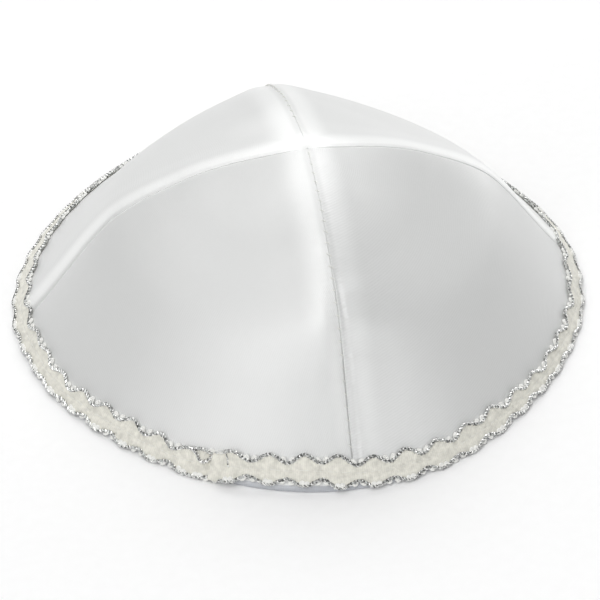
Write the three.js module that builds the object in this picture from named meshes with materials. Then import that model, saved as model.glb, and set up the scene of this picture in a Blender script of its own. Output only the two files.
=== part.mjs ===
// A kippah: a skullcap of four white satin gores with a silver-edged braid sewn round its rim.
//
// Millimetres, +Z up. The origin is the centre of the rim, on the surface that the cap rests on.
// The four seams lie over the X and Y axes, and -Y is the front. The crown is one surface,
// crownPoint(angle, t): angle turns about +Z from +X, and t runs down the wall from the crest, 0,
// to the outer edge of the hem, 1. Everything else is laid on that surface.

import * as THREE from 'three';

// Crown
const RIM_RADIUS = 84.6;
const CREST_SHIFT = 2.6; // the seams cross this far towards +X from the rim's centre
const GORE_FLATTENING = 7; // how far the middle of a gore lies below its seams
const GORE_SAG = 1.3; // 1 puts the deepest place halfway out, and more puts it nearer the rim
const RIM_SQUARENESS = 1.5; // the rim stands out at the seams and in between them by this much
const WALL = 1.2; // satin with its fused backing
const HEM_WIDTH = 2; // flat underside of the turned hem
const SEAM_GAP = 0.3; // between neighbouring gores

// Braid and its two silver cords
const GAP = 0.3; // between the pieces sewn on each other
const BRAID_THICKNESS = 0.8;
const CORD_RADIUS = 0.35;
const CORD_CLEARANCE = 0.74; // from a cord's centre to the braid's edge, along the wall
const BRAID_START = 241.5; // degrees round the rim, where the upper end of the braid lies
const LAP = 5; // degrees over which the braid's two ends lie on each other
const LAP_RAMP = 6; // degrees over which the upper end comes back down to the wall
const LAP_LIFT = 1.2; // how far the upper end is lifted over the lower one

// Facets
const GORE_ROWS = 16; // steps from the crest to the hem
const GORE_COLUMNS = 16; // steps across one gore
const TIP = 0.004; // t at which a gore's point is cut off
const STEPS_PER_HALF_SCALLOP = 2;

// A seam's line from the crest to the hem: out is the share of the rim's radius, up is the height.
const SEAM_ROWS = [
  { out: 0.0, up: 55.6 },
  { out: 0.2, up: 54.3 },
  { out: 0.35, up: 51.7 },
  { out: 0.47, up: 47.7 },
  { out: 0.57, up: 43.6 },
  { out: 0.66, up: 38.4 },
  { out: 0.74, up: 30.7 },
  { out: 0.81, up: 22.3 },
  { out: 0.9, up: 11.3 },
  { out: 1.0, up: 0.0 },
];

// The silver cords at the outmost and inmost point of every scallop in turn: degrees along the
// strip, then the lower and the upper cord's height in mm up the wall from the hem's edge.
const SCALLOP_ROWS = [
  [241.5, 0.9, 8.2], [245.5, 1.4, 10.1], [249.2, 4.1, 8.3], [253.2, 2.6, 11],
  [256.9, 4.5, 9], [260.2, 2.8, 11.6], [263.7, 4.6, 9.2], [267, 1.8, 11],
  [270.7, 3.3, 7.7], [273.9, 1.1, 9.5], [277.4, 2.3, 7], [280.8, 0.5, 9.2],
  [284.6, 2, 6.2], [287.9, 0.3, 8.3], [291.7, 1.5, 5.9], [295.3, 0.2, 8.3],
  [299.4, 2, 6.2], [303, 0.4, 8.2], [307, 2.1, 5.4], [310.7, 0.6, 7.4],
  [314.2, 2.3, 5.4], [317.8, 0.6, 6.9], [321.5, 1.6, 4.6], [324.8, 0.4, 6.8],
  [328.6, 1.7, 5.3], [331.7, 0.4, 7.1], [335.6, 1.5, 5], [339.3, 0.4, 7.4],
  [343, 1.3, 4.9], [346.8, 0.5, 7.5], [547, 1.3, 8.8], [550.3, 2.7, 7.5],
  [553.5, 1.3, 8.6], [556.8, 2.2, 6.4], [560.6, 0.9, 7.9], [564.3, 1.9, 5.5],
  [567.8, 0.9, 8.2], [571.4, 2.3, 6.3], [574.7, 0.7, 8.7], [578.4, 2.3, 6.7],
  [581.9, 0.5, 8.7], [585.6, 1.8, 6.3], [589, 0.3, 8.4], [592.6, 1.9, 5.8],
  [595.8, 0.2, 7.6], [599.3, 0.4, 8.4], [602, 1.5, 7.6], [606.5, 1.6, 8.4],
];

// Round the back the scallops are even.
const EVEN_SCALLOPS = { after: 346.8, before: 547, count: 27, inmost: [2.1, 6.6], outmost: [0.6, 8.8] };

// Gores, by the angle of their first seam.
const GORES = [
  { name: 'crown_panel_back_right', from: 0 },
  { name: 'crown_panel_back_left', from: 90 },
  { name: 'crown_panel_front_left', from: 180 },
  { name: 'crown_panel_front_right', from: 270 },
];

const seamLine = new THREE.SplineCurve(SEAM_ROWS.map((row) => new THREE.Vector2(row.out, row.up)));

// A point of the crown's outer surface; angle in radians.
function crownPoint(angle, t) {
  const { x: out, y: up } = seamLine.getPoint(t);
  const radius = RIM_RADIUS * out + RIM_SQUARENESS * Math.cos(4 * angle) * out ** 6;
  const drop = GORE_FLATTENING * Math.abs(Math.sin(2 * angle)) * Math.sin(Math.PI * out ** GORE_SAG);
  return new THREE.Vector3(
    radius * Math.cos(angle) + CREST_SHIFT * (1 - out),
    radius * Math.sin(angle),
    up - drop,
  );
}

// The outward direction square to the wall, seen along the rim, so that neighbours mitre at a seam.
function wallNormal(angle, t) {
  const step = 0.002;
  const above = crownPoint(angle, Math.max(t - step, 0));
  const below = crownPoint(angle, Math.min(t + step, 1));
  const around = new THREE.Vector3(-Math.sin(angle), Math.cos(angle), 0);
  return below.sub(above).cross(around).normalize();
}

// The point lift mm off the wall, outwards.
function offWall(angle, t, lift) {
  return crownPoint(angle, t).addScaledVector(wallNormal(angle, t), lift);
}

// The t at which the wall, measured up from the hem's edge, is rise mm long.
function tAtRise(angle, rise) {
  const step = 0.005;
  let t = 1;
  let length = 0;
  let here = crownPoint(angle, t);
  while (length < rise) {
    const next = crownPoint(angle, t - step);
    const stretch = next.distanceTo(here);
    const share = Math.min((rise - length) / stretch, 1);
    t -= step * share;
    length += stretch;
    here = next;
  }
  return t;
}

// A closed solid from a row of like loops. A loop goes out along one side and back along the
// other, so that point i faces point (length - 1 - i), and the end caps are ladders of quads.
function sweep(loops) {
  const count = loops[0].length;
  const positions = loops.flat().flatMap((point) => point.toArray());
  const index = [];
  const quad = (a, b, c, d) => index.push(a, b, c, a, c, d);
  for (let i = 0; i + 1 < loops.length; i += 1) {
    for (let j = 0; j < count; j += 1) {
      const here = i * count + j;
      const next = i * count + ((j + 1) % count);
      quad(here, next, next + count, here + count);
    }
  }
  const last = (loops.length - 1) * count;
  for (let j = 0; j + 1 < count / 2; j += 1) {
    const facing = count - 1 - j;
    quad(j + 1, j, facing, facing - 1);
    quad(last + j, last + j + 1, last + facing - 1, last + facing);
  }
  const geometry = new THREE.BufferGeometry();
  geometry.setAttribute('position', new THREE.Float32BufferAttribute(positions, 3));
  geometry.setIndex(index);
  geometry.computeVertexNormals();
  return geometry;
}

// One gore: a curved wall between two seams, cut flat where the hem stands.
function goreGeometry(firstSeam) {
  const rows = Array.from({ length: GORE_ROWS + 1 }, (_, i) => TIP + ((1 - TIP) * i) / GORE_ROWS);
  const angleAt = (t, share) => {
    const inset = Math.asin(SEAM_GAP / 2 / (RIM_RADIUS * seamLine.getPoint(t).x));
    return firstSeam + inset + share * (Math.PI / 2 - 2 * inset);
  };
  const innerPoint = (angle, t) => {
    if (t < 1) {
      return offWall(angle, t, -WALL);
    }
    const inward = new THREE.Vector3(-Math.cos(angle), -Math.sin(angle), 0);
    return crownPoint(angle, t).addScaledVector(inward, HEM_WIDTH);
  };
  const loops = [];
  for (let column = 0; column <= GORE_COLUMNS; column += 1) {
    const share = column / GORE_COLUMNS;
    const outer = rows.map((t) => crownPoint(angleAt(t, share), t));
    const inner = rows.map((t) => innerPoint(angleAt(t, share), t));
    loops.push([...outer, ...inner.reverse()]);
  }
  return sweep(loops);
}

function allScallopRows() {
  const { after, before, count, inmost, outmost } = EVEN_SCALLOPS;
  const rows = [...SCALLOP_ROWS];
  for (let i = 1; i < 2 * count; i += 1) {
    const at = THREE.MathUtils.lerp(after, before, i / (2 * count));
    rows.push([at, ...(i % 2 ? inmost : outmost)]);
  }
  return rows.sort((a, b) => a[0] - b[0]);
}

// Where the cords run, share of the way from one row to the next, and the lift of the lap.
function braidLie(from, to, share) {
  const wave = THREE.MathUtils.smoothstep(share, 0, 1);
  const degrees = THREE.MathUtils.lerp(from[0], to[0], share);
  return {
    degrees,
    low: THREE.MathUtils.lerp(from[1], to[1], wave),
    high: THREE.MathUtils.lerp(from[2], to[2], wave),
    lift: LAP_LIFT * (1 - THREE.MathUtils.smoothstep(degrees - BRAID_START - LAP, 0, LAP_RAMP)),
  };
}

// Sweeps a section along the whole strip; section(point, lie) gives its loop of points, where
// point(rise, lift) is a place on the wall at this angle.
function stripGeometry(section) {
  const rows = allScallopRows();
  const lies = [braidLie(rows[0], rows[1], 0)];
  for (let i = 1; i < rows.length; i += 1) {
    for (let step = 1; step <= STEPS_PER_HALF_SCALLOP; step += 1) {
      lies.push(braidLie(rows[i - 1], rows[i], step / STEPS_PER_HALF_SCALLOP));
    }
  }
  const loops = lies.map((lie) => {
    const angle = THREE.MathUtils.degToRad(lie.degrees);
    const point = (rise, lift) => offWall(angle, tAtRise(angle, rise), lift + lie.lift);
    return section(point, lie);
  });
  return sweep(loops);
}

// The ribbon itself, between the two cords.
function braidSection(point, { low, high }) {
  const bottom = low + CORD_CLEARANCE;
  const top = high - CORD_CLEARANCE;
  return [
    point(bottom, GAP),
    point(top, GAP),
    point(top, GAP + BRAID_THICKNESS),
    point(bottom, GAP + BRAID_THICKNESS),
  ];
}

// A silver cord whose centre runs rise mm up the wall.
function cordSection(point, rise) {
  const lift = GAP + CORD_RADIUS;
  return [
    point(rise, lift - CORD_RADIUS),
    point(rise + CORD_RADIUS, lift),
    point(rise, lift + CORD_RADIUS),
    point(rise - CORD_RADIUS, lift),
  ];
}

const satin = { color: 0xf4f4ef, roughness: 0.4, metalness: 0 };
const ribbon = { color: 0xe3e1d6, roughness: 0.75, metalness: 0 };
const silver = { color: 0xb4b8b8, roughness: 0.35, metalness: 0.9 };

function piece(name, geometry, finish) {
  const mesh = new THREE.Mesh(geometry, new THREE.MeshStandardMaterial(finish));
  mesh.name = name;
  return mesh;
}

const kippah = new THREE.Group();
for (const gore of GORES) {
  kippah.add(piece(gore.name, goreGeometry(THREE.MathUtils.degToRad(gore.from)), satin));
}
kippah.add(piece('rim_braid', stripGeometry(braidSection), ribbon));
kippah.add(piece('rim_cord_upper', stripGeometry((point, lie) => cordSection(point, lie.high)), silver));
kippah.add(piece('rim_cord_lower', stripGeometry((point, lie) => cordSection(point, lie.low)), silver));

export default kippah;
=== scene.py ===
"""A white satin kippah with a silver-edged braid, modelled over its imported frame.

The crown is one surface, crown_point(angle, t): angle turns about +Z from +X, and t runs down the
wall from the crest, 0, to the hem's edge, 1. Everything sewn on it is placed by its height up the
wall from that edge. Lengths are millimetres unless a comment or a unit says metres.
"""

import math

import bpy
import numpy as np
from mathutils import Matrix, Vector


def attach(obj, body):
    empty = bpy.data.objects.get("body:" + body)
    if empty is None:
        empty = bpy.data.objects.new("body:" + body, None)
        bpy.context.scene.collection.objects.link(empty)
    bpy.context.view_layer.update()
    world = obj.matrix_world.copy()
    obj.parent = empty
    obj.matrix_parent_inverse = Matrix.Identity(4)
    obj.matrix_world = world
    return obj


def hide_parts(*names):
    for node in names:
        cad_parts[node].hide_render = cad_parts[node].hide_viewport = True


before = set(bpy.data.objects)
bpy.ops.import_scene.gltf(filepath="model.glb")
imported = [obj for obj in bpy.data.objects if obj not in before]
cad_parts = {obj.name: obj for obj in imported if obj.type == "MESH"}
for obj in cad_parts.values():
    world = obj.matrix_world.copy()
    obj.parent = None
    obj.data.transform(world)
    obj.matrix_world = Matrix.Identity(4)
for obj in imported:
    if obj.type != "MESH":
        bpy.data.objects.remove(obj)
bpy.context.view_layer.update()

bl_info = {
    "name": "Satin kippah",
    "version": (1, 0, 0),
    "blender": (4, 5, 0),
    "location": "View3D > Sidebar > Kippah",
    "description": "Models a four-gore satin kippah with a scalloped silver-edged braid",
    "category": "Add Mesh",
}

MM = 0.001
SEED = 11

# A seam's line from the crest to the hem: out is the share of the rim's radius, up the height.
SEAM_ROWS = (
    {"out": 0.0, "up": 55.6},
    {"out": 0.2, "up": 54.3},
    {"out": 0.35, "up": 51.7},
    {"out": 0.47, "up": 47.7},
    {"out": 0.57, "up": 43.6},
    {"out": 0.66, "up": 38.4},
    {"out": 0.74, "up": 30.7},
    {"out": 0.81, "up": 22.3},
    {"out": 0.9, "up": 11.3},
    {"out": 1.0, "up": 0.0},
)

# The silver cords' heights up the wall at the outmost and inmost point of every scallop in turn:
# (degrees along the braid, lower cord, upper cord).
SCALLOP_ROWS = (
    (241.5, 0.9, 8.2), (245.5, 1.4, 10.1), (249.2, 4.1, 8.3), (253.2, 2.6, 11.0),
    (256.9, 4.5, 9.0), (260.2, 2.8, 11.6), (263.7, 4.6, 9.2), (267.0, 1.8, 11.0),
    (270.7, 3.3, 7.7), (273.9, 1.1, 9.5), (277.4, 2.3, 7.0), (280.8, 0.5, 9.2),
    (284.6, 2.0, 6.2), (287.9, 0.3, 8.3), (291.7, 1.5, 5.9), (295.3, 0.2, 8.3),
    (299.4, 2.0, 6.2), (303.0, 0.4, 8.2), (307.0, 2.1, 5.4), (310.7, 0.6, 7.4),
    (314.2, 2.3, 5.4), (317.8, 0.6, 6.9), (321.5, 1.6, 4.6), (324.8, 0.4, 6.8),
    (328.6, 1.7, 5.3), (331.7, 0.4, 7.1), (335.6, 1.5, 5.0), (339.3, 0.4, 7.4),
    (343.0, 1.3, 4.9), (346.8, 0.5, 7.5),
    (547.0, 1.3, 8.8), (550.3, 2.7, 7.5), (553.5, 1.3, 8.6), (556.8, 2.2, 6.4),
    (560.6, 0.9, 7.9), (564.3, 1.9, 5.5), (567.8, 0.9, 8.2), (571.4, 2.3, 6.3),
    (574.7, 0.7, 8.7), (578.4, 2.3, 6.7), (581.9, 0.5, 8.7), (585.6, 1.8, 6.3),
    (589.0, 0.3, 8.4), (592.6, 1.9, 5.8), (595.8, 0.2, 7.6), (599.3, 0.4, 8.4),
    (602.0, 1.5, 7.6), (606.5, 1.6, 8.4),
)
# The long gap in those rows is the back of the rim, where the scallops are even. low and high hold
# each cord's height at an inmost and at an outmost point.
EVEN_SCALLOPS = {
    "after": 346.8, "before": 547.0, "count": 27, "low": (2.1, 0.6), "high": (6.6, 8.8)}
BRAID_RADIUS = 81  # mean radius of the strip, by which its degrees become mm
LAP_ENDS = (244, 604)  # degrees between which the strip's edges are whole, clear of its cut ends
TONGUE = {"low": 0.5, "high": 8.4}  # heights of the strip's two edges at its upper end
CORD_LIFT = 0.75  # of the silver cords' middle line off the wall
NEEDLE_LIFT = 0.35  # of the needle line off the wall, over half the ribbon

# How each gore lies along its two seams. roll: radius of the turned edge. band: width of a strip
# beside the seam, sunk so deep. ridge: how high the seam allowances inside lift the cloth, reach:
# how far out. fall: how deep the cloth sinks to the seam over the lower half. pucker: depth of the
# gathers made by the seam's thread. backing: how much whiter the satin is drawn over its
# allowances, at the crest and at the hem. This is partly the extra layers behind the satin and
# partly a painted highlight in place of the sheen beside the seams.
PLAIN_EDGE = {
    "roll": 0.5, "band": 0.0, "sunk": 0.0, "ridge": 0.1, "reach": 5.0, "fall": 0.0, "pucker": 0.01,
    "backing": (0.0, 0.0)}
RAISED_EDGE = {**PLAIN_EDGE, "roll": 0.3, "ridge": 0.5, "reach": 6.5, "backing": (0.8, 0.9)}
GATHERED_EDGE = {
    **PLAIN_EDGE, "roll": 0.14, "ridge": 0.25, "fall": 0.8, "pucker": 0.05, "backing": (0.6, 0.25)}
BANDED_EDGE = {
    **PLAIN_EDGE, "roll": 0.14, "band": 1.3, "sunk": 0.3, "ridge": 0.3, "reach": 4.5,
    "pucker": 0.06, "backing": (0.6, 0.35)}
STITCH_SPACING = 3.7
PAINTED_SHADE_ROWS = 2  # rows of a gore's wall, next to its rolled hem, already in the hem's painted shade
HEM_STEP = 0.3  # of cloth between two rows of the rolled hem, on its UV map
HEM_WIDTH = 8  # of cloth turned up inside the hem
ALLOWANCE_DEPTH = 0.35  # thickness of the seam allowances inside
THREAD_RADIUS = {"seam": 0.12, "needle": 0.08, "frayed": 0.09}

# Soft dents and swellings where the cloth is drawn in by the front seam. down and away place the
# middle of each, in mm from the crest and from the seam; long and wide are its half sizes down and
# across the gore.
FRONT_SEAM = 270
LEFT_DENTS = (
    {"down": 40, "away": 5, "long": 4.5, "wide": 9, "height": -0.32},
    {"down": 60, "away": 9, "long": 11, "wide": 9, "height": 0.35},
    {"down": 76, "away": 3, "long": 9, "wide": 3.5, "height": -0.3},
)
RIGHT_DENTS = (
    {"down": 45, "away": 5, "long": 4, "wide": 5, "height": -0.35},
    {"down": 52, "away": 3.5, "long": 3, "wide": 4, "height": 0.3},
    {"down": 66, "away": 7, "long": 5, "wide": 6, "height": -0.3},
    {"down": 76, "away": 4, "long": 6, "wide": 5, "height": 0.25},
)

# The gores: the first of their two seams, how the satin's grain is turned, their edges and dents.
GORES = (
    {"name": "satin_gore_back_right", "node": "crown_panel_back_right", "from": 0, "grain": 90,
     "edges": (RAISED_EDGE, BANDED_EDGE), "dents": ()},
    {"name": "satin_gore_back_left", "node": "crown_panel_back_left", "from": 90, "grain": -20,
     "edges": (GATHERED_EDGE, RAISED_EDGE), "dents": ()},
    {"name": "satin_gore_front_left", "node": "crown_panel_front_left", "from": 180, "grain": 90,
     "edges": (PLAIN_EDGE, GATHERED_EDGE), "dents": LEFT_DENTS},
    {"name": "satin_gore_front_right", "node": "crown_panel_front_right", "from": 270, "grain": -20,
     "edges": (BANDED_EDGE, PLAIN_EDGE), "dents": RIGHT_DENTS},
)

# The picots: two tufts at every inmost or outmost point of a cord, so many degrees to each side of
# it. up is 1 for loops that stand up the wall and -1 for loops that hang down it, tall is their
# length and lift their height off the wall.
PICOT_ROWS = (
    {"name": "picot_loops_upper", "at": "inmost", "cord": "high", "apart": 0.95, "up": 1,
     "tall": 1.45, "lift": 0.45},
    {"name": "picot_loops_lower", "at": "inmost", "cord": "low", "apart": 0.95, "up": -1,
     "tall": 1.2, "lift": 0.35},
    {"name": "picot_tufts_inner", "at": "outmost", "cord": "low", "apart": 0.5, "up": 1,
     "tall": 1.3, "lift": 0.7},
)

SOFTBOX_DISTANCE = 1.5  # metres, from the middle of the rim
# Softboxes: degrees round from +X and up from the floor, width and height in metres, and watts.
SOFTBOXES = (
    {"name": "softbox_back", "round": 88, "up": 37, "size": (1.7, 1.0), "power": 13.6},
    {"name": "softbox_back_right", "round": 38, "up": 12, "size": (0.9, 0.6), "power": 4.7},
    {"name": "softbox_top", "round": 70, "up": 74, "size": (1.2, 1.2), "power": 3.4},
    {"name": "softbox_overhead", "round": 232, "up": 66, "size": (1.0, 1.0), "power": 8.3},
    {"name": "softbox_front_left", "round": 225, "up": 32, "size": (1.2, 0.9), "power": 6.0},
    {"name": "softbox_front_right", "round": 304, "up": 24, "size": (1.0, 0.9), "power": 4.0},
)


# ---------------------------------------------------------------- settings


class KippahCrown(bpy.types.PropertyGroup):
    rim_radius: bpy.props.FloatProperty(
        name="Rim radius", description="Mean radius of the hem's edge, mm", default=84.6)
    crest_shift: bpy.props.FloatProperty(
        name="Crest shift", description="How far the seams cross towards +X, mm", default=2.6)
    flattening: bpy.props.FloatProperty(
        name="Gore flattening", description="Depth of a gore's middle below its seams, mm",
        default=7.0)
    sag: bpy.props.FloatProperty(
        name="Sag", description="1 puts a gore's deepest place halfway out, more nearer the rim",
        default=1.3)
    squareness: bpy.props.FloatProperty(
        name="Rim squareness", description="How far the rim stands out at the seams, mm",
        default=1.5)
    wall: bpy.props.FloatProperty(
        name="Wall", description="Satin with its fused backing, mm", default=1.2)
    hem_radius: bpy.props.FloatProperty(
        name="Hem radius", description="Half the thickness of the turned hem, mm", default=0.85)
    allowance: bpy.props.FloatProperty(
        name="Seam allowance", description="Width of cloth turned in at a seam, mm", default=6.0)
    rows: bpy.props.IntProperty(
        name="Rows", description="Steps from the crest to the hem", default=260)
    columns: bpy.props.IntProperty(
        name="Columns", description="Steps across a gore", default=110)


class KippahBraid(bpy.types.PropertyGroup):
    start: bpy.props.FloatProperty(
        name="Start", description="Degrees round the rim to the braid's upper end", default=241.5)
    lap: bpy.props.FloatProperty(
        name="Lap", description="Degrees over which the braid's ends lie on each other",
        default=5.0)
    lap_ramp: bpy.props.FloatProperty(
        name="Lap ramp", description="Degrees over which the upper end comes down", default=6.0)
    thickness: bpy.props.FloatProperty(
        name="Thickness", description="Thickness of the ribbon, mm", default=0.8)
    strand: bpy.props.FloatProperty(
        name="Strand", description="Radius of one strand of the silver cord, mm", default=0.32)
    twist: bpy.props.FloatProperty(
        name="Twist", description="Length of one turn of the silver cord, mm", default=2.0)
    stitch: bpy.props.FloatProperty(
        name="Stitch", description="Spacing of the stitches that hold the braid, mm", default=4.0)


class KippahColours(bpy.types.PropertyGroup):
    satin: bpy.props.StringProperty(
        name="Satin", description="sRGB hex of the satin", default="E2E3E2")
    # The satin over its seam allowances, drawn whiter: partly the extra layers behind it, partly a
    # painted highlight in place of the sheen beside the seams.
    backed_highlight: bpy.props.StringProperty(
        name="Backed satin, painted highlight", description="sRGB hex of the satin over its seam allowances",
        default="FAFBFA")
    lining: bpy.props.StringProperty(
        name="Reverse", description="sRGB hex of the cloth's reverse", default="ECECE8")
    ribbon: bpy.props.StringProperty(
        name="Ribbon", description="sRGB hex of the ribbon", default="EAE8DE")
    silver: bpy.props.StringProperty(
        name="Silver", description="sRGB hex of the metallic strand", default="F6F6F4")
    core: bpy.props.StringProperty(
        name="Core", description="sRGB hex of the cord's darker strand", default="D2D4D2")
    picot: bpy.props.StringProperty(
        name="Picot", description="sRGB hex of the picot yarn", default="F8F8F4")
    thread: bpy.props.StringProperty(
        name="Thread", description="sRGB hex of the sewing thread", default="EFEFE9")
    # The turned hem and the wall just above it, under the braid, are drawn in this darker blue-grey
    # copy of the satin: painted shade.
    facing: bpy.props.StringProperty(
        name="Hem painted shade", description="sRGB hex of the turned hem", default="B4B7BD")
    floor: bpy.props.StringProperty(
        name="Floor", description="sRGB hex of the floor", default="FFFFFF")


class KippahStage(bpy.types.PropertyGroup):
    elevation: bpy.props.FloatProperty(
        name="Elevation", description="Camera above the floor, degrees", default=40.9)
    azimuth: bpy.props.FloatProperty(
        name="Azimuth", description="Camera round the cap from -Y, degrees", default=-10.8)
    distance: bpy.props.FloatProperty(
        name="Distance", description="Camera to the rim's centre", default=0.85, unit="LENGTH")
    lens: bpy.props.FloatProperty(
        name="Lens", description="Focal length, mm on a 36 mm sensor", default=168.6)
    shift_x: bpy.props.FloatProperty(
        name="Shift across", description="Share of the frame's width", default=0.002)
    shift_y: bpy.props.FloatProperty(
        name="Shift up", description="Share of the frame's width", default=-0.0082)


# ---------------------------------------------------------------- the crown's surface


def smoothstep(x, low, high):
    share = np.clip((x - low) / (high - low), 0, 1)
    return share * share * (3 - 2 * share)


def table(rows, *columns):
    return [np.array([row[column] for row in rows], float) for column in columns]


def seam_line(t):
    """out and up at t, on the smooth curve through SEAM_ROWS."""
    rows = np.stack(table(SEAM_ROWS, "out", "up"), -1)
    last = len(rows) - 1
    place = np.clip(t, 0, 1) * last
    first = np.minimum(place.astype(int), last - 1)
    share = (place - first)[..., None]
    before, here = rows[np.maximum(first - 1, 0)], rows[first]
    there, after = rows[first + 1], rows[np.minimum(first + 2, last)]
    leave, arrive = (there - before) / 2, (after - here) / 2
    point = (
        here
        + leave * share
        + (3 * (there - here) - 2 * leave - arrive) * share**2
        + (2 * (here - there) + leave + arrive) * share**3
    )
    return point[..., 0], point[..., 1]


def crown_point(angle, t):
    """A point of the crown's plain outer surface, in mm; angle in radians."""
    crown = bpy.context.scene.kippah_crown
    angle, t = np.broadcast_arrays(np.asarray(angle, float), np.asarray(t, float))
    out, up = seam_line(t)
    radius = crown.rim_radius * out + crown.squareness * np.cos(4 * angle) * out**6
    drop = crown.flattening * np.abs(np.sin(2 * angle)) * np.sin(math.pi * out**crown.sag)
    x = radius * np.cos(angle) + crown.crest_shift * (1 - out)
    return np.stack([x, radius * np.sin(angle), up - drop], -1)


def unit(vectors):
    return vectors / np.linalg.norm(vectors, axis=-1, keepdims=True)


def wall_normal(angle, t):
    """The outward direction square to the wall, seen along the rim."""
    step = 0.002
    below, above = np.minimum(t + step, 1), np.maximum(t - step, 0)
    along = crown_point(angle, below) - crown_point(angle, above)
    angle = np.broadcast_to(angle, along.shape[:-1])
    around = np.stack([-np.sin(angle), np.cos(angle), np.zeros_like(angle)], -1)
    return unit(np.cross(along, around))


def on_wall(angle, rise, lift):
    """The point lift mm off the wall, rise mm up it from the hem's edge."""
    angle, rise, lift = np.broadcast_arrays(angle, rise, lift)
    flat_angle, flat_rise = angle.ravel(), rise.ravel()
    steps = np.linspace(1, 0.8, 81)
    line = crown_point(flat_angle[None], steps[:, None])
    climbed = np.cumsum(np.linalg.norm(np.diff(line, axis=0), axis=-1), axis=0)
    climbed = np.vstack([np.zeros(len(flat_angle)), climbed])
    after = np.clip((climbed < flat_rise).sum(0), 1, len(steps) - 1)
    pick = np.arange(len(flat_angle))
    low, high = climbed[after - 1, pick], climbed[after, pick]
    share = (flat_rise - low) / (high - low)
    t = (steps[after - 1] + share * (steps[after] - steps[after - 1])).reshape(angle.shape)
    return crown_point(angle, t) + wall_normal(angle, np.minimum(t, 1)) * lift[..., None]


def seam_distance(angle, t, seam):
    """How far a point is from a seam, in mm along the cloth."""
    out, _ = seam_line(t)
    turn = np.abs(angle - math.radians(seam))
    return bpy.context.scene.kippah_crown.rim_radius * out * np.sin(np.minimum(turn, math.pi / 2))


def edge_relief(edge, away, down):
    """Outward relief of a gore beside one seam; down is mm down the wall from the crest."""
    lower = smoothstep(down, 25, 70)
    roll = edge["roll"] * smoothstep(down, 0.5, 8) + 0.02
    inside = np.clip(1 - away / roll, 0, 1)
    relief = -roll * (1 - np.sqrt(1 - inside**2))
    band = edge["band"] * lower + 0.01
    tilt = np.minimum(away / band, 1) * (1 - smoothstep(away, band, band + 1.8))
    relief -= edge["sunk"] * lower * tilt
    relief -= edge["fall"] * lower * (1 - smoothstep(away, 0, 5))
    over = np.maximum(away - band, 0) / edge["reach"]
    relief += edge["ridge"] * np.where(over < 1, 1 - (1 - over) ** 2, 1 - smoothstep(over, 1, 2.8))
    beat = 2 * math.pi * down / STITCH_SPACING
    gathers = np.cos(beat) + 0.5 * np.cos(2 * beat + 0.7) + 0.4 * np.sin(down / 0.29)
    return relief + edge["pucker"] * (0.35 + 0.65 * lower) * gathers * np.exp(-away / 2.2)


def crown_backing_highlight(gore, angle, t, down):
    """How much whiter the satin is drawn over its seam allowances, 0 to 1: partly the extra layers
    behind it, partly a painted highlight in place of the sheen beside the seams.
    """
    crown = bpy.context.scene.kippah_crown
    lower = smoothstep(down, 25, 70)
    backing = np.zeros(down.shape)
    for edge, seam in zip(gore["edges"], (gore["from"], gore["from"] + 90)):
        away = seam_distance(angle, t, seam)
        near, far = edge["backing"]
        inside = 1 - smoothstep(away, crown.allowance - 2, crown.allowance + 4)
        share = smoothstep(away, 0.8, 2.5) * inside
        backing = np.maximum(backing, (near + (far - near) * lower) * share)
    return backing


def crown_relief(gore, angle, t, down):
    """Outward relief of a whole gore: what its two seams do to it, and its dents."""
    first, last = gore["edges"]
    start = gore["from"]
    relief = edge_relief(first, seam_distance(angle, t, start), down)
    relief = relief + edge_relief(last, seam_distance(angle, t, start + 90), down)
    for dent in gore["dents"]:
        across = (seam_distance(angle, t, FRONT_SEAM) - dent["away"]) / dent["wide"]
        along = (down - dent["down"]) / dent["long"]
        relief = relief + dent["height"] * np.exp(-across**2 - along**2)
    return relief


# ---------------------------------------------------------------- meshes


def sweep_faces(loops, count):
    """Quads of a closed sweep of like loops, with ladders of quads over its two ends."""
    here = np.arange(loops - 1)[:, None] * count + np.arange(count)[None]
    there = np.arange(loops - 1)[:, None] * count + (np.arange(count)[None] + 1) % count
    sides = np.stack([here, there, there + count, here + count], -1).reshape(-1, 4)
    rung = np.arange(count // 2 - 1)
    facing = count - 1 - rung
    near = np.stack([rung + 1, rung, facing, facing - 1], -1)
    far = near[:, [1, 0, 3, 2]] + (loops - 1) * count
    return np.vstack([sides, near, far])


def add_mesh(name, points, faces, uv=None):
    """A smooth mesh object from points in mm and quads, with an optional UV map in metres."""
    mesh = bpy.data.meshes.new(name)
    mesh.vertices.add(len(points))
    mesh.vertices.foreach_set("co", (points * MM).astype(np.float32).ravel())
    mesh.loops.add(faces.size)
    mesh.loops.foreach_set("vertex_index", faces.astype(np.int32).ravel())
    mesh.polygons.add(len(faces))
    mesh.polygons.foreach_set("loop_start", np.arange(0, faces.size, 4, dtype=np.int32))
    mesh.update(calc_edges=True)
    mesh.validate()
    mesh.shade_smooth()
    if uv is not None:
        layer = mesh.uv_layers.new(name="cloth")
        layer.data.foreach_set("uv", (uv[faces.ravel()] * MM).astype(np.float32).ravel())
    made = bpy.data.objects.new(name, mesh)
    bpy.context.collection.objects.link(made)
    return made


def add_sweep(name, loops, uv):
    faces = sweep_faces(len(loops), loops.shape[1])
    return add_mesh(name, loops.reshape(-1, 3), faces, uv.reshape(-1, 2))


def tube(path, radius, sides, reference):
    """Loops of a round tube along a path; reference leans towards the first point of each loop."""
    along = unit(np.gradient(path, axis=0))
    side = unit(np.cross(along, reference))
    top = np.cross(side, along)
    turn = 2 * math.pi * np.arange(sides) / sides
    ring = np.cos(turn)[None, :, None] * top[:, None] + np.sin(turn)[None, :, None] * side[:, None]
    radius = np.broadcast_to(radius, len(path))[:, None, None]
    return path[:, None] - radius * ring


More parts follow.
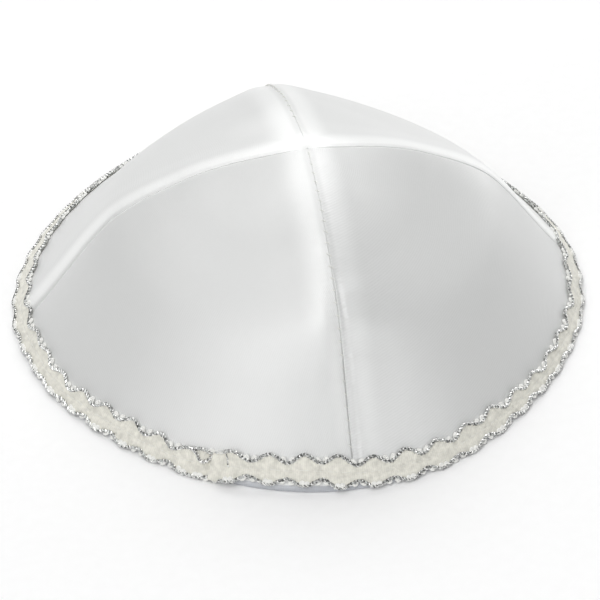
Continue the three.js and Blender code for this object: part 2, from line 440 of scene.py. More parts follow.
def twisted(centre, normal):
    """Two strands twisted about a path."""
    braid = bpy.context.scene.kippah_braid
    along = unit(np.gradient(centre, axis=0))
    side = unit(np.cross(along, normal))
    top = np.cross(side, along)
    length = np.concatenate([[0], np.cumsum(np.linalg.norm(np.diff(centre, axis=0), axis=-1))])
    strands = []
    for strand in range(2):
        turn = (2 * math.pi * length / braid.twist + math.pi * strand)[:, None]
        offset = 0.85 * braid.strand * (np.cos(turn) * top + np.sin(turn) * side)
        strands.append(tube(centre + offset, braid.strand, 6, top))
    return strands


def join_sweeps(name, sweeps):
    """One object from many sweeps."""
    points, faces, start = [], [], 0
    for loops in sweeps:
        points.append(loops.reshape(-1, 3))
        faces.append(sweep_faces(len(loops), loops.shape[1]) + start)
        start += loops.shape[0] * loops.shape[1]
    return add_mesh(name, np.vstack(points), np.vstack(faces))


def finish_piece(piece, slot, *materials, nodes=()):
    """Gives a piece its finish and its place on the frame."""
    for material in materials:
        piece.data.materials.append(material)
    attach(piece, "root")
    if nodes:
        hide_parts(*nodes)
    return piece


# ---------------------------------------------------------------- materials


def linear(hex_colour):
    """Linear RGBA of an sRGB hex colour."""
    channels = [int(hex_colour[i:i + 2], 16) / 255 for i in (0, 2, 4)]
    return [c / 12.92 if c <= 0.04045 else ((c + 0.055) / 1.055) ** 2.4 for c in channels] + [1.0]


def add_node(tree, kind, values=None, links=None, **settings):
    """A node with its settings, its sockets' values and its links from other nodes' outputs."""
    made = tree.nodes.new(kind)
    for key, value in settings.items():
        setattr(made, key, value)
    for socket, value in (values or {}).items():
        made.inputs[socket].default_value = value
    for socket, (source, output) in (links or {}).items():
        tree.links.new(source.outputs[output], made.inputs[socket])
    return made


def new_material(name):
    material = bpy.data.materials.new(name)
    material.use_nodes = True
    material.node_tree.nodes.clear()
    return material, material.node_tree


# A Noise texture's Scale is its grains to a metre, so 900 gives grains of 1.1 mm. Single fibres are
# far too fine to show, so the grains that stand for them are drawn coarser.


def wave_scale(period):
    """The Wave texture's Scale for bands this many metres apart."""
    return math.pi / 10 / period


def colour_ramp(tree, factor, stops):
    ramp = add_node(tree, "ShaderNodeValToRGB", links={"Fac": factor})
    elements = ramp.color_ramp.elements
    for element, (place, colour) in zip(elements, stops):
        element.position = place
        element.color = colour
    return ramp


def shade(colour, share):
    return [c * share for c in colour[:3]] + [1.0]


def satin_material(name, colour, backed_highlight_colour):
    """Polyester satin, woven with long floats and calendered: a broad soft gloss, with the faint
    lines of its weave running along the grain. They are drawn 0.65 mm apart, coarser than the
    real ones, and its slubs are 1.1 mm long."""
    material, tree = new_material(name)
    cloth = add_node(tree, "ShaderNodeUVMap", uv_map="cloth")
    weave = add_node(
        tree, "ShaderNodeTexWave", bands_direction="X",
        values={
            "Scale": wave_scale(0.65 * MM), "Distortion": 1.2, "Detail": 2, "Detail Scale": 1.5},
        links={"Vector": (cloth, "UV")})
    slubs = add_node(
        tree, "ShaderNodeTexNoise", values={"Scale": 900, "Detail": 3, "Roughness": 0.6},
        links={"Vector": (cloth, "UV")})
    threads = add_node(
        tree, "ShaderNodeMath", operation="MULTIPLY_ADD", values={1: 0.5},
        links={0: (slubs, "Fac"), 2: (weave, "Fac")})
    base = linear(colour)
    tint = colour_ramp(tree, (threads, "Value"), [(0.15, shade(base, 0.95)), (1.0, base)])
    # Where the backing attribute is high the colour is mixed towards a whiter one: partly the
    # allowances' extra layers, partly a painted highlight in place of the sheen beside the seams.
    backing = add_node(tree, "ShaderNodeAttribute", attribute_name="backing")
    backed_highlight = add_node(
        tree, "ShaderNodeMix", data_type="RGBA", values={7: linear(backed_highlight_colour)},
        links={"Factor": (backing, "Fac"), 6: (tint, "Color")})
    bump = add_node(
        tree, "ShaderNodeBump", values={"Strength": 0.4, "Distance": 0.06 * MM},
        links={"Height": (threads, "Value")})
    gloss = add_node(
        tree, "ShaderNodeMapRange", values={"To Min": 0.31, "To Max": 0.39},
        links={"Value": (slubs, "Fac")})
    grain = add_node(tree, "ShaderNodeTangent", direction_type="UV_MAP", uv_map="cloth")
    surface = add_node(
        tree, "ShaderNodeBsdfPrincipled",
        values={"IOR": 1.7, "Anisotropic": 0.6, "Anisotropic Rotation": 0.25,
                "Specular IOR Level": 1.0, "Sheen Weight": 0.1, "Sheen Roughness": 0.4},
        links={"Base Color": (backed_highlight, 2), "Normal": (bump, "Normal"),
               "Roughness": (gloss, "Result"), "Tangent": (grain, "Tangent")})
    add_node(tree, "ShaderNodeOutputMaterial", links={"Surface": (surface, "BSDF")})
    return material


def reverse_material(colours):
    """The satin's reverse with its fused backing: matt, with the short weave showing, drawn 0.7 mm
    apart so that it does."""
    material, tree = new_material("fused_satin_reverse")
    cloth = add_node(tree, "ShaderNodeUVMap", uv_map="cloth")
    warp = add_node(
        tree, "ShaderNodeTexWave", bands_direction="X", values={"Scale": wave_scale(0.7 * MM)},
        links={"Vector": (cloth, "UV")})
    weft = add_node(
        tree, "ShaderNodeTexWave", bands_direction="Y", values={"Scale": wave_scale(0.7 * MM)},
        links={"Vector": (cloth, "UV")})
    weave = add_node(
        tree, "ShaderNodeMath", operation="MULTIPLY", links={0: (warp, "Fac"), 1: (weft, "Fac")})
    plain = linear(colours.lining)
    tint = colour_ramp(tree, (weave, "Value"), [(0.0, shade(plain, 0.9)), (0.6, plain)])
    bump = add_node(
        tree, "ShaderNodeBump", values={"Strength": 0.4, "Distance": 0.1 * MM},
        links={"Height": (weave, "Value")})
    surface = add_node(
        tree, "ShaderNodeBsdfPrincipled",
        values={"Roughness": 0.85, "IOR": 1.5, "Sheen Weight": 0.2},
        links={"Base Color": (tint, "Color"), "Normal": (bump, "Normal")})
    add_node(tree, "ShaderNodeOutputMaterial", links={"Surface": (surface, "BSDF")})
    return material


def ribbon_material(colours):
    """Viscose ribbon woven in fine cross ribs, 0.6 mm apart: matt and creamy, a little darker
    between ribs, with fibres of 0.7 mm and soft patches of 2 mm."""
    material, tree = new_material("woven_viscose_ribbon")
    cloth = add_node(tree, "ShaderNodeUVMap", uv_map="cloth")
    ribs = add_node(
        tree, "ShaderNodeTexWave", bands_direction="X",
        values={"Scale": wave_scale(0.6 * MM), "Distortion": 2.0, "Detail": 2, "Detail Scale": 0.8},
        links={"Vector": (cloth, "UV")})
    fibres = add_node(
        tree, "ShaderNodeTexNoise", values={"Scale": 1400, "Detail": 4},
        links={"Vector": (cloth, "UV")})
    patches = add_node(
        tree, "ShaderNodeTexNoise", values={"Scale": 480, "Detail": 3, "Roughness": 0.6},
        links={"Vector": (cloth, "UV")})
    height = add_node(
        tree, "ShaderNodeMath", operation="MULTIPLY_ADD", values={1: 0.7},
        links={0: (fibres, "Fac"), 2: (ribs, "Fac")})
    cream = linear(colours.ribbon)
    tint = colour_ramp(
        tree, (patches, "Fac"), [(0.34, shade(cream, 0.86)), (0.62, shade(cream, 1.08))])
    rib_tint = colour_ramp(
        tree, (ribs, "Fac"), [(0.0, [0.86, 0.86, 0.85, 1]), (0.6, [1, 1, 1, 1])])
    both = add_node(
        tree, "ShaderNodeMix", data_type="RGBA", blend_type="MULTIPLY", values={"Factor": 0.35},
        links={6: (tint, "Color"), 7: (rib_tint, "Color")})
    bump = add_node(
        tree, "ShaderNodeBump", values={"Strength": 0.35, "Distance": 0.12 * MM},
        links={"Height": (height, "Value")})
    surface = add_node(
        tree, "ShaderNodeBsdfPrincipled",
        values={"Roughness": 0.75, "IOR": 1.5, "Sheen Weight": 0.3, "Sheen Roughness": 0.5},
        links={"Base Color": (both, 2), "Normal": (bump, "Normal")})
    add_node(tree, "ShaderNodeOutputMaterial", links={"Surface": (surface, "BSDF")})
    return material


def lurex_material(name, colour, metallic, roughness):
    """Flat metallised film wound on a core and twisted: its colour is drawn dark and bright in
    patches of 0.7 mm, painted glints against painted shade of its turns; the same noise bumps it."""
    material, tree = new_material(name)
    place = add_node(tree, "ShaderNodeTexCoord")
    painted_glint_noise = add_node(
        tree, "ShaderNodeTexNoise", values={"Scale": 1500, "Detail": 2},
        links={"Vector": (place, "Object")})
    base = linear(colour)
    # Painted glints and painted shade: the metal's colour falls to 0.3 of itself between the
    # glints.
    tint = colour_ramp(
        tree, (painted_glint_noise, "Fac"), [(0.38, shade(base, 0.3)), (0.52, shade(base, 1.0))])
    bump = add_node(
        tree, "ShaderNodeBump", values={"Strength": 0.6, "Distance": 0.1 * MM},
        links={"Height": (painted_glint_noise, "Fac")})
    surface = add_node(
        tree, "ShaderNodeBsdfPrincipled", values={"Metallic": metallic, "Roughness": roughness},
        links={"Base Color": (tint, "Color"), "Normal": (bump, "Normal")})
    add_node(tree, "ShaderNodeOutputMaterial", links={"Surface": (surface, "BSDF")})
    return material


def yarn_material(name, colour, roughness, fuzz):
    """Spun yarn: matt and a little fuzzy, with its fibres as noise of 0.4 mm."""
    material, tree = new_material(name)
    place = add_node(tree, "ShaderNodeTexCoord")
    fibres = add_node(
        tree, "ShaderNodeTexNoise", values={"Scale": 2600, "Detail": 4, "Roughness": 0.7},
        links={"Vector": (place, "Object")})
    base = linear(colour)
    tint = colour_ramp(tree, (fibres, "Fac"), [(0.3, shade(base, 0.9)), (0.6, base)])
    bump = add_node(
        tree, "ShaderNodeBump", values={"Strength": fuzz, "Distance": 0.15 * MM},
        links={"Height": (fibres, "Fac")})
    surface = add_node(
        tree, "ShaderNodeBsdfPrincipled",
        values={"Roughness": roughness, "Sheen Weight": 0.5, "Sheen Roughness": 0.6},
        links={"Base Color": (tint, "Color"), "Normal": (bump, "Normal")})
    add_node(tree, "ShaderNodeOutputMaterial", links={"Surface": (surface, "BSDF")})
    return material


def floor_material(colours):
    """Matt studio paper: white, with a hint of tooth, 3 mm apart."""
    material, tree = new_material("matt_studio_paper")
    place = add_node(tree, "ShaderNodeTexCoord")
    tooth = add_node(
        tree, "ShaderNodeTexNoise", values={"Scale": 300, "Detail": 2},
        links={"Vector": (place, "Object")})
    white = linear(colours.floor)
    tint = colour_ramp(tree, (tooth, "Fac"), [(0.3, shade(white, 0.985)), (0.7, white)])
    surface = add_node(
        tree, "ShaderNodeBsdfPrincipled", values={"Roughness": 0.95, "Specular IOR Level": 0.1},
        links={"Base Color": (tint, "Color")})
    add_node(tree, "ShaderNodeOutputMaterial", links={"Surface": (surface, "BSDF")})
    return material


# ---------------------------------------------------------------- the braid's lines


def scallop_rows():
    """SCALLOP_ROWS with the even scallops filled in, as columns."""
    even = EVEN_SCALLOPS
    places = np.linspace(even["after"], even["before"], 2 * even["count"] + 1)[1:-1]
    filled = [(at, even["low"][i % 2], even["high"][i % 2]) for i, at in enumerate(places)]
    return np.array(sorted([*SCALLOP_ROWS, *filled])).T


def wave_between(degrees, at, values):
    """Values at the turning points, joined by smooth half waves."""
    after = np.clip(np.searchsorted(at, degrees), 1, len(at) - 1)
    share = smoothstep(degrees, at[after - 1], at[after])
    return values[after - 1] + share * (values[after] - values[after - 1])


def strip_facts(degrees):
    """The cords' heights, the braid's middle and the lap's lift, at degrees along the braid."""
    braid = bpy.context.scene.kippah_braid
    at, low, high = scallop_rows()
    return {
        "low": wave_between(degrees, at, low),
        "high": wave_between(degrees, at, high),
        "middle": np.interp(degrees, at, (low + high) / 2),
        "lap": 1 - smoothstep(degrees - braid.start - braid.lap, 0, braid.lap_ramp),
    }


def strip_degrees(count, first=0.0):
    """Even places along the braid, leaving first degrees off its upper end."""
    braid = bpy.context.scene.kippah_braid
    return np.linspace(braid.start + first, braid.start + 360 + braid.lap, count)


# ---------------------------------------------------------------- operators


class KIPPAH_OT_gores(bpy.types.Operator):
    """Model the four satin gores with their turned seams and hem"""

    bl_idname = "kippah.gores"
    bl_label = "Crown gores"

    def execute(self, context):
        colours = context.scene.kippah_colours
        outside = satin_material("polyester_satin", colours.satin, colours.backed_highlight)
        # The second material is the same satin in a darker blue-grey: painted shade on the turned
        # hem and on the wall just above it, under the braid.
        facing = satin_material("blue_grey_satin_painted_shade", colours.facing, colours.facing)
        inside = reverse_material(colours)
        for gore in GORES:
            piece, length, width = self.gore(gore)
            finish_piece(piece, "satin", outside, facing, inside, nodes=[gore["node"]])
        return {"FINISHED"}

    def gore(self, gore):
        """One gore, with the length and width of its flat cut in metres."""
        crown = bpy.context.scene.kippah_crown
        first = math.radians(gore["from"])
        # The columns stand closer together towards the seams.
        even = np.linspace(0, 1, crown.columns + 1)
        share = 0.35 * even + 0.65 * (0.5 - 0.5 * np.cos(math.pi * even))
        angle = (first + share * math.pi / 2)[:, None]
        hem_t = self.hem_t(angle[:, 0])[:, None]
        down = np.linspace(0, 1, crown.rows + 1)[None]
        t = 0.002 + (hem_t - 0.002) * down
        plain = crown_point(angle, t)
        step = np.linalg.norm(np.diff(plain, axis=1), axis=-1)
        length = np.concatenate([np.zeros((len(share), 1)), np.cumsum(step, 1)], 1)
        normal = wall_normal(angle, t)
        relief = crown_relief(gore, angle, t, length)
        from_hem = length[:, -1:] - length
        relief *= smoothstep(from_hem, 0, 5)
        outer = plain + normal * relief[..., None]
        inner = plain - normal * self.depth(angle, t, from_hem, gore["from"])[..., None]
        roll_out, roll_in = self.hem(angle[:, 0], hem_t[:, 0])
        loops = np.concatenate([outer, roll_out, roll_in, inner[:, ::-1]], 1)
        half_hem = roll_out.shape[1]
        uv = self.cloth_map(gore, angle, t, length, half_hem)
        piece = add_sweep(gore["name"], loops, uv)
        # The backing attribute: where the satin is drawn whiter, partly for its allowances' extra
        # layers, partly as a painted highlight in place of the sheen beside the seams.
        backing = np.zeros(loops.shape[:2])
        backing[:, :crown.rows + 1] = crown_backing_highlight(gore, angle, t, length)
        layer = piece.data.attributes.new("backing", "FLOAT", "POINT")
        layer.data.foreach_set("value", backing.astype(np.float32).ravel())
        # The last rows of the wall and the hem take the satin in painted shade.
        self.mark_faces(
            piece, loops.shape, crown.rows - PAINTED_SHADE_ROWS, crown.rows + 2 * half_hem)
        flat_width = 2 * math.pi * crown.rim_radius / 4
        flat_length = length[len(share) // 2, -1] + math.pi * crown.hem_radius
        return piece, flat_length * MM, flat_width * MM

    def hem_t(self, angle):
        """The t from which the hem turns under, so that its roll stands on the floor."""
        crown = bpy.context.scene.kippah_crown
        t = np.linspace(0.85, 1, 301)
        line = crown_point(angle[:, None], t[None])
        normal = wall_normal(angle[:, None], t[None])
        centre = line - normal * crown.hem_radius
        above = centre[..., 2] - crown.hem_radius
        return t[np.argmin(np.abs(above), axis=1)]

    def hem(self, angle, hem_t):
        """The turned hem's outer and inner halves, as arcs about its own centre line."""
        crown = bpy.context.scene.kippah_crown
        normal = wall_normal(angle, hem_t)
        centre = crown_point(angle, hem_t) - normal * crown.hem_radius
        centre[:, 2] = crown.hem_radius
        outward = np.stack([np.cos(angle), np.sin(angle), np.zeros_like(angle)], -1)
        up = np.array([0, 0, 1.0])
        start = math.atan2(normal[0, 2], math.hypot(normal[0, 0], normal[0, 1]))
        foot = 0.12  # radians to each side of straight down that the hem stands on, flat
        turns_out = np.linspace(start, -math.pi / 2, 9)[1:]
        turns_in = np.linspace(-math.pi / 2, start - math.pi, 9)[1:]
        turns_out[-1] += foot
        turns_in = np.concatenate([[-math.pi / 2 - foot], turns_in[:-1]])

        def arc(turns):
            turns = turns[None, :, None]
            ring = np.cos(turns) * outward[:, None] + np.sin(turns) * up
            return centre[:, None] + crown.hem_radius * ring

        return arc(turns_out), arc(turns_in)

    def depth(self, angle, t, from_hem, first_seam):
        """The wall's depth: more over the seam allowances and the turned hem inside."""
        crown = bpy.context.scene.kippah_crown
        turned = 1 - smoothstep(from_hem, HEM_WIDTH, HEM_WIDTH + 0.6)
        depth = crown.wall + (2 * crown.hem_radius - crown.wall) * turned
        for seam in (first_seam, first_seam + 90):
            away = seam_distance(angle, t, seam)
            over = 1 - smoothstep(away, crown.allowance - 0.5, crown.allowance)
            depth = depth + ALLOWANCE_DEPTH * over
        return depth

    def cloth_map(self, gore, angle, t, length, hem_rows):
        """UVs in mm on the flat cloth, turned so that x runs across the grain's lines."""
        crown = bpy.context.scene.kippah_crown
        middle = math.radians(gore["from"] + 45)
        across = (angle - middle) * crown.rim_radius * seam_line(t)[0]
        flat = np.stack([across, length], -1)
        roll = np.arange(1, hem_rows + 1) * HEM_STEP
        hem_out = np.stack(
            [np.repeat(across[:, -1:], hem_rows, 1), length[:, -1:] + roll[None]], -1)
        flat = np.concatenate([flat, hem_out, hem_out[:, ::-1], flat[:, ::-1]], 1)
        turn = math.radians(90 - gore["grain"])
        spin = np.array([[math.cos(turn), -math.sin(turn)], [math.sin(turn), math.cos(turn)]])
        return flat @ spin.T

    def mark_faces(self, piece, shape, first_painted_shade, first_inner):
        """Gives the turned hem and the rows just above it the satin in painted shade, and the faces
        inside the cap their own material.
        """
        loops, count = shape[:2]
        material = np.zeros(len(piece.data.polygons), np.int32)
        place = np.arange((loops - 1) * count) % count
        material[:len(place)] = (place >= first_painted_shade).astype(int) + (place >= first_inner)
        material[:len(place)][place == count - 1] = 0
        piece.data.polygons.foreach_set("material_index", material)


class KIPPAH_OT_seam_stitches(bpy.types.Operator):
    """Lay the fine stitches that tie the front and back seams"""

    bl_idname = "kippah.seam_stitches"
    bl_label = "Seam stitches"

    def execute(self, context):
        colours = context.scene.kippah_colours
        thread = yarn_material("polyester_sewing_thread", colours.thread, 0.55, 0.2)
        for name, seam in (("seam_stitches_front", 270), ("seam_stitches_back", 90)):
            piece = join_sweeps(name, self.stitches(math.radians(seam)))
            finish_piece(piece, "satin", thread)
        return {"FINISHED"}

    def stitches(self, seam):
        t = np.linspace(0.01, 0.93, 1500)
        line = crown_point(seam, t)
        down = np.concatenate([[0], np.cumsum(np.linalg.norm(np.diff(line, axis=0), axis=-1))])
        close = np.arange(0.8, 4, 0.8)
        even = np.arange(4 + STITCH_SPACING / 2, down[-1] - 2, STITCH_SPACING)
        sweeps = []
        for middle in np.concatenate([close, even]):
            reach = 0.45 if middle < 4 else 0.6
            lean = np.linspace(-1, 1, 9)
            here = np.interp(middle + reach * lean, down, t)
            radius = bpy.context.scene.kippah_crown.rim_radius * seam_line(here)[0]
            side = (0.3 if middle < 4 else 0.75) * lean
            angle = seam + side / np.maximum(radius, 1)
            normal = wall_normal(angle, here)
            arch = 0.12 - 0.25 * lean**2 - 0.3 * smoothstep(middle, 28, 55)
            path = crown_point(angle, here) + normal * arch[:, None]
            sweeps.append(tube(path, THREAD_RADIUS["seam"], 6, normal))
        return sweeps


class KIPPAH_OT_braid(bpy.types.Operator):
    """Model the woven ribbon of the braid, gathered by its needle line"""

    bl_idname = "kippah.braid"
    bl_label = "Braid ribbon"

    def execute(self, context):
        piece = self.ribbon()
        woven = ribbon_material(context.scene.kippah_colours)
        finish_piece(piece, "braid", woven, nodes=["rim_braid"])
        return {"FINISHED"}

    def ribbon(self):
        """The ribbon: a tongue at its upper end, then full between the cords, with a groove along
        the needle line, gathers towards its edges and soft puffs all over."""
        braid = bpy.context.scene.kippah_braid
        degrees = strip_degrees(1900)[:, None]
        facts = strip_facts(degrees)
        across = np.linspace(-1, 1, 19)[None]
        tongue = 1 - smoothstep(degrees - braid.start, 1.6, 2.6)
        low = facts["low"] * (1 - tongue) + TONGUE["low"] * tongue
        high = facts["high"] * (1 - tongue) + TONGUE["high"] * tongue
        low, high = low + 0.1, high - 0.1
        rise = (low + high) / 2 + across * (high - low) / 2
        along = np.radians(degrees) * BRAID_RADIUS
        off_line = rise - facts["middle"]
        groove = 0.2 * np.exp(-((off_line / 0.35) ** 2)) * (1 - tongue)
        hole = np.cos(2 * math.pi * along / braid.stitch) > 0.93
        dimple = 0.14 * hole * np.exp(-((off_line / 0.35) ** 2)) * (1 - tongue)
        gathers = 0.1 * np.sin(2 * math.pi * along / 2.3 + 2 * np.sin(along / 7)) * np.abs(across)
        wander = np.sin(along / 0.33 + 1.7 * np.sin(along / 2.9))
        puffs = 0.07 * wander * np.sin(rise / 0.42 + along / 3.1)
        crowned = 0.3 * (1 - across**4)
        soft = (gathers + puffs) * (1 - across**6)
        top = 0.2 + braid.thickness * 0.5 + crowned - groove - dimple + soft
        top = top + facts["lap"]
        bottom = np.full_like(top, 0.12) + facts["lap"]
        angle = np.radians(degrees)
        upper = on_wall(angle, rise, top)
        under = on_wall(angle, rise, bottom)
        loops = np.concatenate([under, upper[:, ::-1]], 1)
        uv = np.stack([np.broadcast_to(along, rise.shape), rise], -1)
        uv = np.concatenate([uv, uv[:, ::-1]], 1)
        return add_sweep("braid_ribbon", loops, uv)


class KIPPAH_OT_needle_line(bpy.types.Operator):
    """Lay the machine stitches along the middle of the braid"""

    bl_idname = "kippah.needle_line"
    bl_label = "Needle line"

    def execute(self, context):
        braid = context.scene.kippah_braid
        colours = context.scene.kippah_colours
        thread = yarn_material("polyester_braid_thread", colours.thread, 0.5, 0.2)
        degrees_each = math.degrees(braid.stitch / BRAID_RADIUS)
        reach = degrees_each * 0.42
        sweeps = []
        first = braid.start + 3.0
        for i in range(int((356 + braid.lap) / degrees_each) - 2):
            middle = first + (i + 0.5) * degrees_each
            degrees = np.linspace(middle - reach, middle + reach, 11)
            facts = strip_facts(degrees)
            sunk = 0.3 * np.linspace(-1, 1, 11) ** 6
            lift = NEEDLE_LIFT + braid.thickness * 0.5 - sunk + facts["lap"]
            angle = np.radians(degrees)
            path = on_wall(angle, facts["middle"], lift)
            normal = on_wall(angle, facts["middle"], lift + 1) - path
            sweeps.append(tube(path, THREAD_RADIUS["needle"], 6, normal))
        finish_piece(join_sweeps("braid_needle_line", sweeps), "braid", thread)
        return {"FINISHED"}


class KIPPAH_OT_silver_cords(bpy.types.Operator):
    """Twist the two silver cords along the braid's scalloped edges"""

    bl_idname = "kippah.silver_cords"
    bl_label = "Silver cords"

    def execute(self, context):
        colours = context.scene.kippah_colours
        bright = lurex_material("bright_metallised_film", colours.silver, 1.0, 0.22)
        dark = lurex_material("smoked_metallised_film", colours.core, 0.9, 0.35)
        degrees = strip_degrees(3600, first=2.2)
        facts = strip_facts(degrees)
        for edge, key in (("upper", "high"), ("lower", "low")):
            lift = CORD_LIFT + facts["lap"]
            centre = on_wall(np.radians(degrees), facts[key], lift)
            normal = on_wall(np.radians(degrees), facts[key], lift + 1) - centre
            piece = join_sweeps(f"silver_cord_{edge}", twisted(centre, normal))
            finish_piece(piece, "silver_cord", bright, dark, nodes=[f"rim_cord_{edge}"])
            half = len(piece.data.polygons) // 2
            index = np.repeat([0, 1], [half, len(piece.data.polygons) - half])
            piece.data.polygons.foreach_set("material_index", index.astype(np.int32))
            piece.data.shade_flat()
        return {"FINISHED"}


class KIPPAH_OT_picots(bpy.types.Operator):
    """Loop the white picot yarn beside the silver cords"""

    bl_idname = "kippah.picots"
    bl_label = "Picot loops"

    def execute(self, context):
        yarn = yarn_material("cotton_picot_yarn", context.scene.kippah_colours.picot, 1.0, 0.5)
        random = np.random.default_rng(SEED)
        at, _, high = scallop_rows()
        whole = (at > LAP_ENDS[0]) & (at < LAP_ENDS[1])
        inmost = high < (np.roll(high, 1) + np.roll(high, -1)) / 2
        places = {"inmost": at[inmost & whole], "outmost": at[~inmost & whole]}
        for row in PICOT_ROWS:
            sweeps = []
            for middle in places[row["at"]]:
                for side in (-row["apart"], row["apart"]):
                    place = middle + side * random.uniform(0.85, 1.1)
                    sweeps += self.loops(place, row, random)
            finish_piece(join_sweeps(row["name"], sweeps), "braid", yarn)
        return {"FINISHED"}

    def loops(self, middle, row, random):
        """A tuft of three nested loops of yarn."""
        facts = strip_facts(np.array([middle]))
        base, lap = facts[row["cord"]][0], facts["lap"][0]
        tuft = []
        for size, radius in ((1.0, 0.4), (0.6, 0.4), (0.25, 0.36)):
            turn = np.linspace(0, math.pi, 13)
            reach = row["tall"] * size * random.uniform(0.85, 1.1)
            width = math.degrees(0.72 * size * random.uniform(0.9, 1.1) / BRAID_RADIUS)
            angle = np.radians(middle + width * np.cos(turn))
            rise = np.maximum(base + row["up"] * (np.sin(turn) * reach - 0.2), 0.1)
            height = row["lift"] + 0.15 * np.sin(turn) + lap
            path = on_wall(angle, rise, height)
            reference = on_wall(angle, rise, height + 1) - path
            swell = radius * (1 + 0.15 * np.sin(3 * turn + random.uniform(0, 6)))
            tuft.append(tube(path, swell, 6, reference))
        return tuft


class KIPPAH_OT_braid_ends(bpy.types.Operator):
    """Leave the loose ends where the braid's two ends lie on each other"""

    bl_idname = "kippah.braid_ends"
    bl_label = "Braid ends"

    def execute(self, context):
        colours = context.scene.kippah_colours
        bright = bpy.data.materials["bright_metallised_film"]
        dark = bpy.data.materials["smoked_metallised_film"]
        loop = self.path(
            (236.2, 7.7, 0.8), (237.4, 7.4, 1.1), (238.2, 6.6, 1.2), (238.8, 5.4, 1.2),
            (239.7, 4.9, 1.2), (240.6, 5.6, 1.3), (241.3, 6.8, 1.4), (241.8, 7.8, 1.2))
        hanging = self.path(
            (244.0, 9.6, 2.0), (244.4, 8.8, 2.2), (244.8, 7.6, 2.2), (245.0, 6.5, 2.1),
            (245.1, 5.9, 2.1))
        sweeps = twisted(*loop) + [tube(hanging[0], 0.2, 6, hanging[1])]
        piece = join_sweeps("silver_loose_end", sweeps)
        finish_piece(piece, "silver_cord", bright, dark)
        piece.data.shade_flat()
        wisps = [
            self.path((239.6, 7.0, 1.3), (240.2, 8.2, 1.6), (240.9, 8.9, 1.5), (241.6, 8.6, 1.3)),
            self.path((240.4, 7.6, 1.4), (241.0, 8.4, 1.7), (242.0, 9.2, 1.6), (242.9, 9.0, 1.8)),
            self.path((241.5, 8.0, 1.9), (242.0, 9.0, 2.0), (242.6, 9.6, 1.8), (243.4, 9.9, 1.6)),
            self.path((242.3, 8.1, 2.0), (242.9, 8.8, 2.2), (243.5, 8.6, 2.1), (244.1, 9.3, 2.0)),
        ]
        sweeps = [tube(path, THREAD_RADIUS["frayed"], 6, normal) for path, normal in wisps]
        tip = self.path((245.1, 6.0, 2.1), (245.15, 5.7, 2.1), (245.25, 5.4, 2.0))
        sweeps.append(tube(tip[0], 0.24, 8, tip[1]))
        yarn = yarn_material("viscose_frayed_yarn", colours.picot, 0.9, 0.5)
        finish_piece(join_sweeps("braid_frayed_threads", sweeps), "braid", yarn)
        return {"FINISHED"}

    def path(self, *rows):
        """A smooth line through (degrees, rise, lift) rows, with its outward direction."""
        degrees, rise, lift = np.array(rows).T
        knots = np.arange(len(rows))
        fine = np.linspace(0, len(rows) - 1, 16 * len(rows))
        soft = np.ones(9) / 9

        def smooth(values):
            padded = np.pad(np.interp(fine, knots, values), 4, mode="edge")
            return np.convolve(padded, soft, "valid")

        angle, rise, lift = np.radians(smooth(degrees)), smooth(rise), smooth(lift)
        path = on_wall(angle, rise, lift)
        return path, on_wall(angle, rise, lift + 1) - path


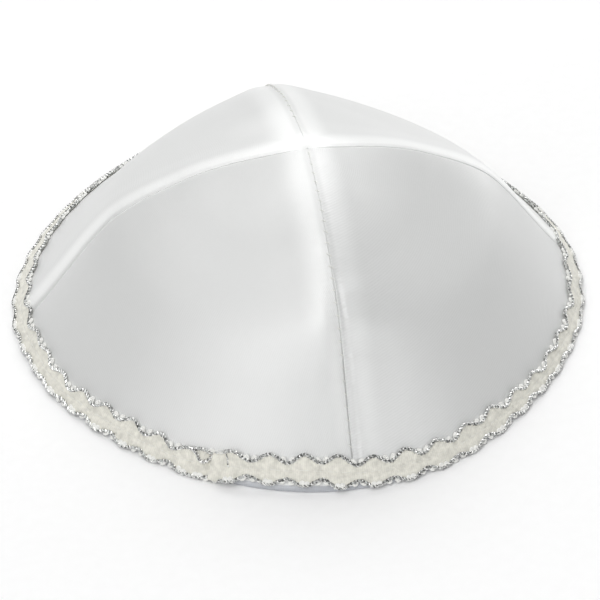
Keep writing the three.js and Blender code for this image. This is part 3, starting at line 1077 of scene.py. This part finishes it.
class KIPPAH_OT_stage(bpy.types.Operator):
    """Set the floor, the lights and the camera"""

    bl_idname = "kippah.stage"
    bl_label = "Stage"

    def execute(self, context):
        bpy.ops.object.select_all(action="DESELECT")
        bpy.ops.mesh.primitive_plane_add(size=8)
        floor = context.object
        floor.name = "floor"
        floor.data.materials.append(floor_material(context.scene.kippah_colours))
        for box in SOFTBOXES:
            self.softbox(box)
        self.world()
        self.camera(context)
        context.scene.view_settings.view_transform = "Standard"
        return {"FINISHED"}

    def softbox(self, box):
        turn, up = math.radians(box["round"]), math.radians(box["up"])
        back = Vector((math.cos(turn) * math.cos(up), math.sin(turn) * math.cos(up), math.sin(up)))
        bpy.ops.object.light_add(type="AREA", location=back * SOFTBOX_DISTANCE)
        lamp = bpy.context.object
        lamp.name = box["name"]
        lamp.data.shape = "RECTANGLE"
        lamp.data.size, lamp.data.size_y = box["size"]
        lamp.data.energy = box["power"]
        lamp.rotation_euler = (-back).to_track_quat("-Z", "Y").to_euler()

    def world(self):
        world = bpy.data.worlds.new("studio")
        world.use_nodes = True
        background = world.node_tree.nodes["Background"]
        background.inputs["Color"].default_value = linear("FFFFFF")
        background.inputs["Strength"].default_value = 0.08
        bpy.context.scene.world = world

    def camera(self, context):
        stage = context.scene.kippah_stage
        up, round_ = math.radians(stage.elevation), math.radians(stage.azimuth)
        level = math.cos(up)
        back = Vector((math.sin(round_) * level, -math.cos(round_) * level, math.sin(up)))
        bpy.ops.object.camera_add(location=back * stage.distance)
        camera = context.object
        camera.name = "camera"
        camera.rotation_euler = (-back).to_track_quat("-Z", "Y").to_euler()
        camera.data.lens = stage.lens
        camera.data.sensor_width = 36
        camera.data.shift_x = stage.shift_x
        camera.data.shift_y = stage.shift_y
        camera.data.clip_start = 0.01
        context.scene.camera = camera


OPERATORS = (
    KIPPAH_OT_stage,
    KIPPAH_OT_gores,
    KIPPAH_OT_seam_stitches,
    KIPPAH_OT_braid,
    KIPPAH_OT_needle_line,
    KIPPAH_OT_silver_cords,
    KIPPAH_OT_picots,
    KIPPAH_OT_braid_ends,
)


class KIPPAH_PT_sidebar(bpy.types.Panel):
    bl_idname = "KIPPAH_PT_sidebar"
    bl_label = "Kippah"
    bl_space_type = "VIEW_3D"
    bl_region_type = "UI"
    bl_category = "Kippah"

    def draw(self, context):
        for operator in OPERATORS:
            self.layout.operator(operator.bl_idname)


GROUPS = {
    "kippah_crown": KippahCrown,
    "kippah_braid": KippahBraid,
    "kippah_colours": KippahColours,
    "kippah_stage": KippahStage,
}
CLASSES = (*GROUPS.values(), *OPERATORS, KIPPAH_PT_sidebar)


def register():
    for cls in CLASSES:
        bpy.utils.register_class(cls)
    for name, group in GROUPS.items():
        setattr(bpy.types.Scene, name, bpy.props.PointerProperty(type=group))


def unregister():
    for name in GROUPS:
        delattr(bpy.types.Scene, name)
    for cls in reversed(CLASSES):
        bpy.utils.unregister_class(cls)


def main():
    register()
    bpy.ops.kippah.stage()
    bpy.ops.kippah.gores()
    bpy.ops.kippah.seam_stitches()
    bpy.ops.kippah.braid()
    bpy.ops.kippah.needle_line()
    bpy.ops.kippah.silver_cords()
    bpy.ops.kippah.picots()
    bpy.ops.kippah.braid_ends()


if __name__ == "__main__":
    main()
